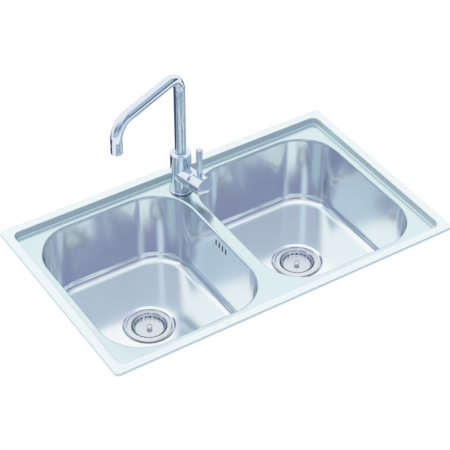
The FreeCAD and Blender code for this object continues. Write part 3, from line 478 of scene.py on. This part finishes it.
def cup_surface(centre):
    """Turned cup: flange, straight wall, cone, well; then back up outside, one gauge away."""
    inner = eased([(FLANGE_RADIUS, FLANGE_Z), (51.6, -186.1), (48, -185.6), (40.5, -185.6),
                   (38, -188.4), (38, -203), (29, -209), (29, WELL_TOP_Z), (WELL_RADIUS, WELL_TOP_Z)],
                  [0.3, 1.5, 1.2, 2.0, 3.0, 2.0, 1.5], 4)
    outer = eased([(WELL_RADIUS, WELL_LOW_Z), (30, WELL_LOW_Z), (30, -209.6), (39, -203.6), (39, -189),
                   (41, FLANGE_Z), (FLANGE_RADIUS, FLANGE_Z)], [2.0, 2.5, 3.0, 1.0, 0.5], 4)
    return turned(inner, centre), turned(outer, centre)


def cup_floor(centre, z, flip):
    """Flat plate across the well, with six drain holes round the screw in its middle."""
    angles = np.linspace(0, 2 * np.pi, ROUND_STEPS, endpoint=False)
    small = np.linspace(0, 2 * np.pi, 32, endpoint=False)
    outer = circle_ring(WELL_RADIUS, z, angles, centre)
    holes = [circle_ring(WELL_HOLE, z, small, (centre[0] + WELL_HOLE_RING * math.cos(t),
                                               centre[1] + WELL_HOLE_RING * math.sin(t)))
             for t in np.arange(6) * np.pi / 3]
    points, faces = flat_fill(outer, holes)
    return points, [list(reversed(f)) for f in faces] if flip else [list(f) for f in faces], holes


def basket_skin(centre):
    """Turned basket whose conical wall misses the faces of 20 upright slots."""
    rim = [(36.5, -189.0), (36.5, -188.0), (36.25, -187.65), (35.75, -187.4), (35.2, -187.5),
           (34.8, -187.9)]
    wall = [(33.9, -190.0), (32.4, -193.8)]
    floor = eased([(32.1, -194.6), (31.4, BASKET_FLOOR_Z), (POST_RADIUS, BASKET_FLOOR_Z)], [1.2], 5)
    profile = np.concatenate([rim, wall, floor])
    columns = BASKET_SLOTS * SLOT_COLUMNS
    rings = turned(profile, centre, columns)
    faces = grid_faces(len(profile), columns)
    row, column = np.divmod(np.arange(len(faces)), columns)
    solid = ~((row == len(rim)) & (column % SLOT_COLUMNS < OPEN_COLUMNS))
    return rings.reshape(1, -1, 3), faces[solid].tolist()


def knob_surface(centre):
    """Turned knob: foot, waist and domed head, with the post below the floor."""
    head = eased([(0, -203.0), (4, -203.0), (4, -201.8), (POST_RADIUS, -201.8),
                  (POST_RADIUS, BASKET_FLOOR_Z), (5.05, BASKET_FLOOR_Z), (3.25, -194.6), (3.25, -192.8),
                  (6.5, -191.2), (6.5, -188.4), (0, -187.4)],
                 [0.2, 0.2, 0.1, 0.1, 0.3, 0.8, 0.8, 0.8, 1.4], 4)
    return turned(head, centre, 64)


bright_steel = drawn_stainless("bright_stainless_waste", "#E6ECF0", "#D8DFE5", 0.16, (1.0, 1.0, 0.05))
for name, side in (("left", -1), ("right", 1)):
    centre = (side * BOWL_X, WASTE_Y)
    inner, outer = cup_surface(centre)
    top_points, top_faces, top_holes = cup_floor(centre, WELL_TOP_Z, False)
    low_points, low_faces, low_holes = cup_floor(centre, WELL_LOW_Z, True)
    grids = [inner, outer] + [np.array([a, b]) for a, b in zip(top_holes, low_holes)]
    start = sum(g.shape[0] * g.shape[1] for g in grids)
    plates = [[start + i for i in f] for f in top_faces]
    plates += [[start + len(top_points) + i for i in f] for f in low_faces]
    cup = make_piece(f"{name}_strainer_cup_drawn", grids + [top_points[None], low_points[None]], plates)
    rings, faces = basket_skin(centre)
    basket = make_piece(f"{name}_basket_drawn", [rings], faces)
    thicken(basket, 0.8)
    knob = make_piece(f"{name}_basket_knob_turned", [knob_surface(centre)])
    for piece, node, body in ((cup, "strainer_cup", "sink"), (basket, "basket", f"{name}_strainer"),
                              (knob, "basket_knob", f"{name}_strainer")):
        piece.data.materials.append(bright_steel)
        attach(piece, body)
        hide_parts(f"{name}_{node}")


# ---- tap body ----
# Cast and turned brass, polished and chrome plated. The plating is a thin skin over the CAD casting: an
# upright cylinder on a low base ring, with the cartridge barrel standing out of its side.
TAP = (0.0, TAP_Y)
BODY_RADIUS = 23.5
BODY_FOOT = -4.5
BODY_TOP = 87.0
RING_TOP = 95.0
RING_BORE = 12.8
BASE_FOOT = -8.5
BASE_RADIUS = 27.0
BASE_BORE = 16.8
BARREL_RADIUS = 23.3
BARREL_END = 40.75
BARREL_BAND = 1.0
BARREL_Z = 38.0
BARREL_TURN = math.radians(-78.0)
PLATING = 0.06
PLATING_GAP = 0.05


def across(profile):
    """Profile of (radius, distance) turned about the barrel's axis: (distance, r cos a, r sin a)."""
    a = np.linspace(0, 2 * np.pi, ROUND_STEPS, endpoint=False)
    return np.array([np.column_stack([np.full(len(a), x), r * np.cos(a), r * np.sin(a)])
                     for r, x in profile])


def in_barrel(points):
    """Turn points drawn along +X to the barrel's direction, and carry them to the tap."""
    c, s = math.cos(BARREL_TURN), math.sin(BARREL_TURN)
    turn = np.array([[c, s, 0], [-s, c, 0], [0, 0, 1]])
    return points @ turn + np.array([0, TAP_Y, BARREL_Z])


def barrel_surface():
    """Sleeve from 0.5 mm inside the body's face, where distance = sqrt(body radius^2 - y^2), to a narrow
    band before the split line, and the band with its eased edge."""
    radius, sunk = BARREL_RADIUS + PLATING, 0.5
    sleeve = across([(radius, share) for share in np.linspace(0, 1, 12)])
    reach = np.sqrt(BODY_RADIUS ** 2 - np.minimum(sleeve[0, :, 1] ** 2, BODY_RADIUS ** 2)) - sunk
    sleeve[:, :, 0] = reach + (BARREL_END - reach) * sleeve[:, :, 0]
    sleeve[-1, :, 0] = BARREL_END - BARREL_BAND
    end = across(eased([(radius, BARREL_END - BARREL_BAND), (radius, BARREL_END), (20.0, BARREL_END)],
                       [0.25], 3))
    return in_barrel(sleeve), in_barrel(end)


def chrome_plate(name, tint, roughness):
    """Bright chromium over polished brass. Polishing leaves a slow ripple, 12 mm long and a few microns
    high, and fine swirls in the gloss, so that mirrored edges waver a little."""
    ripples_per_metre, swirls_per_metre = 80.0, 600.0
    material, tree, shader = blank(name)
    place = add(tree, "ShaderNodeTexCoord").outputs["Object"]
    ripple = add(tree, "ShaderNodeTexNoise", {"Vector": place, "Scale": ripples_per_metre, "Detail": 1.0})
    swirl = add(tree, "ShaderNodeTexNoise", {"Vector": place, "Scale": swirls_per_metre, "Detail": 2.0})
    gloss = add(tree, "ShaderNodeMapRange", {"Value": swirl.outputs[0], "To Min": roughness * 0.7,
                                             "To Max": roughness * 1.3})
    tree.links.new(gloss.outputs[0], shader.inputs["Roughness"])
    bump = add(tree, "ShaderNodeBump", {"Height": ripple.outputs[0], "Strength": 0.04, "Distance": 0.0003})
    tree.links.new(bump.outputs[0], shader.inputs["Normal"])
    shader.inputs["Base Color"].default_value = linear(tint)
    shader.inputs["Metallic"].default_value = 1.0
    return material


def finish_piece(piece, material, body, slot, *replaced):
    """Give a piece its material, the body that it moves with and the CAD nodes that it stands for."""
    piece.data.materials.append(material)
    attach(piece, body)
    if replaced:
        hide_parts(*replaced)
    return piece


chrome = chrome_plate("chrome_plated_brass", "#DFEAF3", 0.05)
base_ring = make_piece("base_ring_turned", [turned(closed(
    [(BASE_BORE, BASE_FOOT), (BASE_RADIUS, BASE_FOOT), (BASE_RADIUS, -6.7), (25.6, -5.1),
     (24.6, BODY_FOOT), (BASE_BORE, BODY_FOOT), (BASE_BORE, BASE_FOOT)],
    [0.3, 0.6, 1.0, 0.4, 0.2]), TAP)])
finish_piece(base_ring, chrome, "sink", "chrome_plated_brass", "tap_base_ring")
plated, plated_top = BODY_RADIUS + PLATING, BODY_TOP - PLATING_GAP
skin = turned(eased([(17.2, BODY_FOOT), (plated, BODY_FOOT), (plated, plated_top), (15.2, plated_top)],
                    [0.8, 0.5], 4), TAP)
body_skin = make_piece("tap_body_plating", [skin, *barrel_surface()])
finish_piece(body_skin, chrome, "sink", "chrome_plated_brass")
spout_ring = make_piece("spout_ring_turned", [turned(closed(
    [(RING_BORE, BODY_TOP), (BODY_RADIUS, BODY_TOP), (BODY_RADIUS, 92.0), (22.4, 92.9), (16.2, 94.2),
     (14.6, RING_TOP), (RING_BORE, RING_TOP), (RING_BORE, BODY_TOP)],
    [0.4, 0.8, 0.8, 0.8, 0.6, 0.3]), TAP)])
finish_piece(spout_ring, chrome, "sink", "chrome_plated_brass", "spout_ring")


# ---- spout ----
# One length of 25 mm brass tube, bent twice round a 40 mm former and chrome plated. It turns in the body
# on a bush, and a sleeve with the aerator screws into its end.
SPOUT_HEIGHT = 301.0
SPOUT_REACH = 221.0
SPOUT_TURN = math.radians(-157.0)
SPOUT_BEND = 40.0
TUBE_RADIUS = 12.5
TUBE_WALL = 1.5
TUBE_FOOT = 61.0
TUBE_END = 253.5
TUBE_STEPS = 96
OUTLET_Z = 231.5
SLEEVE_RADIUS = 12.8
SLEEVE_BORE = 9.8
THREAD_RADIUS = 11.0
THREAD_END = 261.5


def spout_surface():
    """Circle carried along the bent line. The line's heading h falls from 90 to 0 and to -90 degrees, and
    in a bend each point is the bend's centre + bend radius * (-sin h, cos h)."""
    bend = np.radians(np.linspace(90, 0, 33))
    low, high = SPOUT_HEIGHT - SPOUT_BEND, SPOUT_BEND
    first = np.column_stack([high - high * np.sin(bend), low + high * np.cos(bend)])
    second = np.column_stack([SPOUT_REACH - high + high * np.cos(bend), low + high * np.sin(bend)])
    foot = [(0, TUBE_FOOT), (0, TUBE_FOOT + GUARD), (0, low - GUARD)]
    arm = [(high + GUARD, SPOUT_HEIGHT), (SPOUT_REACH - high - GUARD, SPOUT_HEIGHT)]
    end = [(SPOUT_REACH, low - GUARD), (SPOUT_REACH, TUBE_END + GUARD), (SPOUT_REACH, TUBE_END)]
    line = np.concatenate([foot, first, arm, second, end])
    heading = np.concatenate([[np.pi / 2] * len(foot), bend, [0.0] * len(arm), bend - np.pi / 2,
                              [-np.pi / 2] * len(end)])
    a = np.linspace(0, 2 * np.pi, TUBE_STEPS, endpoint=False)
    lift, side = np.cos(a)[None, :, None], -np.sin(a)[None, :, None]
    out = np.column_stack([-np.sin(heading), np.cos(heading)])[:, None, :]
    flat = line[:, None, :] + TUBE_RADIUS * lift * out
    direction = np.array([math.cos(SPOUT_TURN), math.sin(SPOUT_TURN)])
    square = np.array([-direction[1], direction[0]])
    xy = flat[:, :, :1] * direction + TUBE_RADIUS * side * square
    return np.concatenate([xy + np.array(TAP), flat[:, :, 1:]], 2)


tube = make_piece("spout_tube_bent", [spout_surface()])
thicken(tube, TUBE_WALL)
finish_piece(tube, chrome, "spout", "chrome_plated_brass", "spout_tube")
outlet = (SPOUT_REACH * math.cos(SPOUT_TURN), TAP_Y + SPOUT_REACH * math.sin(SPOUT_TURN))
sleeve = make_piece("aerator_sleeve_turned", [turned(closed(
    [(SLEEVE_BORE, OUTLET_Z + 1), (11.4, OUTLET_Z), (SLEEVE_RADIUS, OUTLET_Z), (SLEEVE_RADIUS, TUBE_END),
     (THREAD_RADIUS, TUBE_END), (THREAD_RADIUS, THREAD_END), (SLEEVE_BORE, THREAD_END),
     (SLEEVE_BORE, OUTLET_Z + 1)], [0.4, 0.8, 0.4, 0.2, 0.2, 0.2]), outlet, TUBE_STEPS)])
finish_piece(sleeve, chrome, "spout", "chrome_plated_brass", "aerator_housing")


# ---- lever ----
# The barrel carries a spherical ring, and a hollow cap swings over it round the ring's centre. A turned
# pin, a little thicker at its rounded top, screws into the cap and works it.
PIVOT_X = 35.0
DOME_RADIUS = 24.0
DOME_WALL = 1.5
DOME_EDGES = (13.9, 48.6)
CAP_START = 47.0
CAP_FLOOR = 59.7
CAP_END = 78.0
CAP_BORE = 21.3
LEVER_X = 60.0
PIN_FOOT = 22.3
PIN_TOP = 93.1
PIN_CROWN = 3.2
PIN_RADII = (5.8, 7.5)


def dome_arc(radius, angles):
    """Pivot + radius * (cos t, sin t), as pairs of radius and distance along the barrel."""
    return [(radius * math.cos(t), PIVOT_X + radius * math.sin(t)) for t in angles]


arc = np.radians(np.linspace(*DOME_EDGES, 16))
dome_profile = dome_arc(DOME_RADIUS, arc) + dome_arc(DOME_RADIUS - DOME_WALL, arc[::-1])
dome = make_piece("barrel_dome_spun", [in_barrel(across(dome_profile + dome_profile[:1]))])
finish_piece(dome, chrome, "sink", "chrome_plated_brass", "barrel_dome")
cap = make_piece("lever_cap_turned", [in_barrel(across(eased(
    [(0, CAP_FLOOR), (CAP_BORE, CAP_FLOOR), (CAP_BORE, CAP_START), (BARREL_RADIUS, CAP_START),
     (BARREL_RADIUS, CAP_END), (0, CAP_END)], [0.5, 0.3, 0.4, 1.2], 5)))])
finish_piece(cap, chrome, "lever", "chrome_plated_brass", "lever_cap")
thin, thick = PIN_RADII
pin_rows = [(0, PIN_FOOT), (thin, PIN_FOOT), (thin, PIN_FOOT + 0.5), (thick, PIN_TOP)]
pin_rows += [(thick * math.cos(t), PIN_TOP + PIN_CROWN * math.sin(t))
             for t in np.radians(np.linspace(9, 90, 10))]
pin = make_piece("lever_pin_turned", [in_barrel(turned(pin_rows, (LEVER_X, 0), 64))])
finish_piece(pin, chrome, "lever", "chrome_plated_brass", "lever_pin")


# ---- hidden pieces ----
# What holds the sink and the tap down and carries the water away, kept as the CAD made it.


def plain_finish(name, tint, darker, roughness, grain, metallic=0.0):
    """Even finish with so many grains per metre, in colour, gloss and relief."""
    swing = 0.06
    material, tree, shader = blank(name)
    place = add(tree, "ShaderNodeTexCoord").outputs["Object"]
    noise = add(tree, "ShaderNodeTexNoise", {"Vector": place, "Scale": grain, "Detail": 4.0})
    colour = add(tree, "ShaderNodeMix", {0: noise.outputs[0], 6: linear(darker), 7: linear(tint)},
                 data_type="RGBA")
    tree.links.new(colour.outputs[2], shader.inputs["Base Color"])
    gloss = add(tree, "ShaderNodeMapRange", {"Value": noise.outputs[0], "To Min": roughness - swing,
                                             "To Max": roughness + swing})
    tree.links.new(gloss.outputs[0], shader.inputs["Roughness"])
    bump = add(tree, "ShaderNodeBump", {"Height": noise.outputs[0], "Strength": 0.2, "Distance": 0.0002})
    tree.links.new(bump.outputs[0], shader.inputs["Normal"])
    shader.inputs["Metallic"].default_value = metallic
    return material


finishes = {
    "brushed_steel": rim_steel,
    "polished_steel": bright_steel,
    "chrome_plated_brass": chrome,
    "zinc_plated_steel": plain_finish("zinc_plated_steel", "#B9BDC2", "#9DA2A8", 0.38, 400.0, 1.0),
    "brass": plain_finish("turned_brass", "#D2B06A", "#B8934C", 0.3, 500.0, 1.0),
    "seal_rubber": plain_finish("black_nitrile_rubber", "#1C1C1D", "#131314", 0.7, 700.0),
    "foam_seal": plain_finish("grey_foam_strip", "#6B6D70", "#4C4E52", 0.9, 1500.0),
    "sound_pad": plain_finish("bitumen_sound_pad", "#2B2C2F", "#1E1F22", 0.8, 900.0),
    "moulded_polypropylene": plain_finish("white_polypropylene", "#E8E8E4", "#DEDEDA", 0.4, 1200.0),
    "ceramic": plain_finish("lapped_alumina", "#F2F1EC", "#E9E8E2", 0.2, 800.0),
    "acetal": plain_finish("white_acetal", "#EDEDEA", "#E2E2DE", 0.35, 1000.0),
}
node_slots = {row["node"]: row["material_slot"] for row in frame["record"]["subparts"]}
for node, carried in nodes.items():
    carried.data.materials.clear()
    carried.data.materials.append(finishes[node_slots[node]])


# ---- studio ----
# White ground at worktop height with the sink's cut-out in it, so that the bowls hang below it, and a white
# room. The room's front half is dim and violet, paler low down and high up, with three upright soft windows
# and a navy patch low on the right. Only the steel's reflections show it.
CUTOUT_HALF = (407.5, 245.0)
CUTOUT_CORNER = 15.0
GROUND_HALF = (3000.0, 3000.0)
GROUND_CORNER = 50.0
GROUND_Z = -0.4
GROUND_MIRRORED = 0.92
CARD_Z = -0.2
# Each patch of the room: direction and half width in degrees, lowest and highest elevation, soft edge,
# colour. A later patch lies over an earlier one.
ROOM_PATCHES = (
    (265.0, 100.0, -30.0, 48.0, 12.0, "#8C8EB2"),
    (265.0, 95.0, 48.0, 62.0, 10.0, "#BCCBDC"),
    (255.0, 90.0, -30.0, 16.0, 8.0, "#C2D2E0"),
    (342.0, 12.0, 15.0, 44.0, 5.0, "#BACAD6"),
    (225.0, 8.0, 8.0, 55.0, 6.0, "#D8E4F0"),
    (280.0, 9.0, 22.0, 48.0, 6.0, "#BBCADB"),
    (345.0, 22.0, -20.0, 12.0, 5.0, "#3E4974"),
)

ground = make_piece("ground", [np.array([level_ring(GROUND_HALF, GROUND_CORNER, GROUND_Z),
                                         level_ring(CUTOUT_HALF, CUTOUT_CORNER, GROUND_Z)])])
ground_paint, tree, shader = blank("white_ground")
shader.inputs["Base Color"].default_value = linear("#F4F6F8")
shader.inputs["Roughness"].default_value = 0.9
path = add(tree, "ShaderNodeLightPath")
glow = add(tree, "ShaderNodeEmission", {"Color": (1, 1, 1, 1), "Strength": 1.0})
seen = add(tree, "ShaderNodeMath", {0: path.outputs["Is Glossy Ray"], 1: GROUND_MIRRORED},
           operation="MULTIPLY")
seen = add(tree, "ShaderNodeMath", {0: seen.outputs[0], 1: path.outputs["Is Camera Ray"]},
           operation="MAXIMUM")
mixed = add(tree, "ShaderNodeMixShader", {0: seen.outputs[0], 1: shader.outputs[0], 2: glow.outputs[0]})
output = next(n for n in tree.nodes if n.type == "OUTPUT_MATERIAL")
tree.links.new(mixed.outputs[0], output.inputs["Surface"])
ground.data.materials.append(ground_paint)

# A navy card lies on the ground behind the sink, seen by reflections only. The tap's upright chrome mirrors
# it as a dark band along the left edge and a thin line along the right.
CARD_CORNERS = ((-800.0, 262.0), (800.0, 262.0), (800.0, 900.0), (-800.0, 900.0))
card = make_piece("navy_card", [np.array([[(x, y, CARD_Z) for x, y in CARD_CORNERS]])], [[0, 1, 2, 3]])
card_paint, tree, shader = blank("navy_card_paint")
shader.inputs["Base Color"].default_value = linear("#454F80")
shader.inputs["Roughness"].default_value = 0.9
card.data.materials.append(card_paint)
card.visible_camera = card.visible_diffuse = card.visible_shadow = False

world = bpy.data.worlds.new("studio")
scene.world = world
world.use_nodes = True
tree = world.node_tree
tree.nodes.clear()
sight = add(tree, "ShaderNodeTexCoord").outputs["Generated"]
height = add(tree, "ShaderNodeSeparateXYZ", {0: sight}).outputs[2]
elevation = add(tree, "ShaderNodeMath", {0: height}, operation="ARCSINE").outputs[0]
level = add(tree, "ShaderNodeVectorMath", {0: sight, 1: (1.0, 1.0, 0.0)}, operation="MULTIPLY")
level = add(tree, "ShaderNodeVectorMath", {0: level.outputs[0]}, operation="NORMALIZE").outputs[0]


def soft_window(value, half, edge):
    """1 where the value is under half - edge, 0 where it is over half + edge, smooth between."""
    return add(tree, "ShaderNodeMapRange", {"Value": value, "From Min": half - edge, "From Max": half + edge,
                                            "To Min": 1.0, "To Max": 0.0},
               interpolation_type="SMOOTHSTEP").outputs[0]


room = (1.0, 1.0, 1.0, 1.0)
for middle, half, low, high, edge, tint in ROOM_PATCHES:
    middle, half, low, high, edge = (math.radians(v) for v in (middle, half, low, high, edge))
    facing = add(tree, "ShaderNodeVectorMath", {0: level, 1: (math.cos(middle), math.sin(middle), 0.0)},
                 operation="DOT_PRODUCT").outputs["Value"]
    aside = add(tree, "ShaderNodeMath", {0: facing}, operation="ARCCOSINE").outputs[0]
    above = add(tree, "ShaderNodeMath", {0: elevation, 1: (low + high) / 2}, operation="SUBTRACT").outputs[0]
    above = add(tree, "ShaderNodeMath", {0: above}, operation="ABSOLUTE").outputs[0]
    share = add(tree, "ShaderNodeMath", {0: soft_window(aside, half, edge),
                                         1: soft_window(above, (high - low) / 2, edge)},
                operation="MULTIPLY").outputs[0]
    room = add(tree, "ShaderNodeMix", {0: share, 6: room, 7: linear(tint)}, data_type="RGBA").outputs[2]
path = add(tree, "ShaderNodeLightPath")
white = add(tree, "ShaderNodeMath",
            {0: path.outputs["Is Camera Ray"], 1: path.outputs["Is Transmission Ray"]},
            operation="MAXIMUM").outputs[0]
mirrored = add(tree, "ShaderNodeBackground", {"Color": room, "Strength": 1.0})
backdrop = add(tree, "ShaderNodeBackground", {"Color": (1, 1, 1, 1), "Strength": 1.0})
plain = add(tree, "ShaderNodeBackground", {"Color": (0.93, 0.96, 1.0, 1.0), "Strength": 0.8})
mixed = add(tree, "ShaderNodeMixShader", {0: path.outputs["Is Glossy Ray"], 1: plain.outputs[0],
                                          2: mirrored.outputs[0]})
mixed = add(tree, "ShaderNodeMixShader", {0: white, 1: mixed.outputs[0], 2: backdrop.outputs[0]})
add(tree, "ShaderNodeOutputWorld", {"Surface": mixed.outputs[0]})
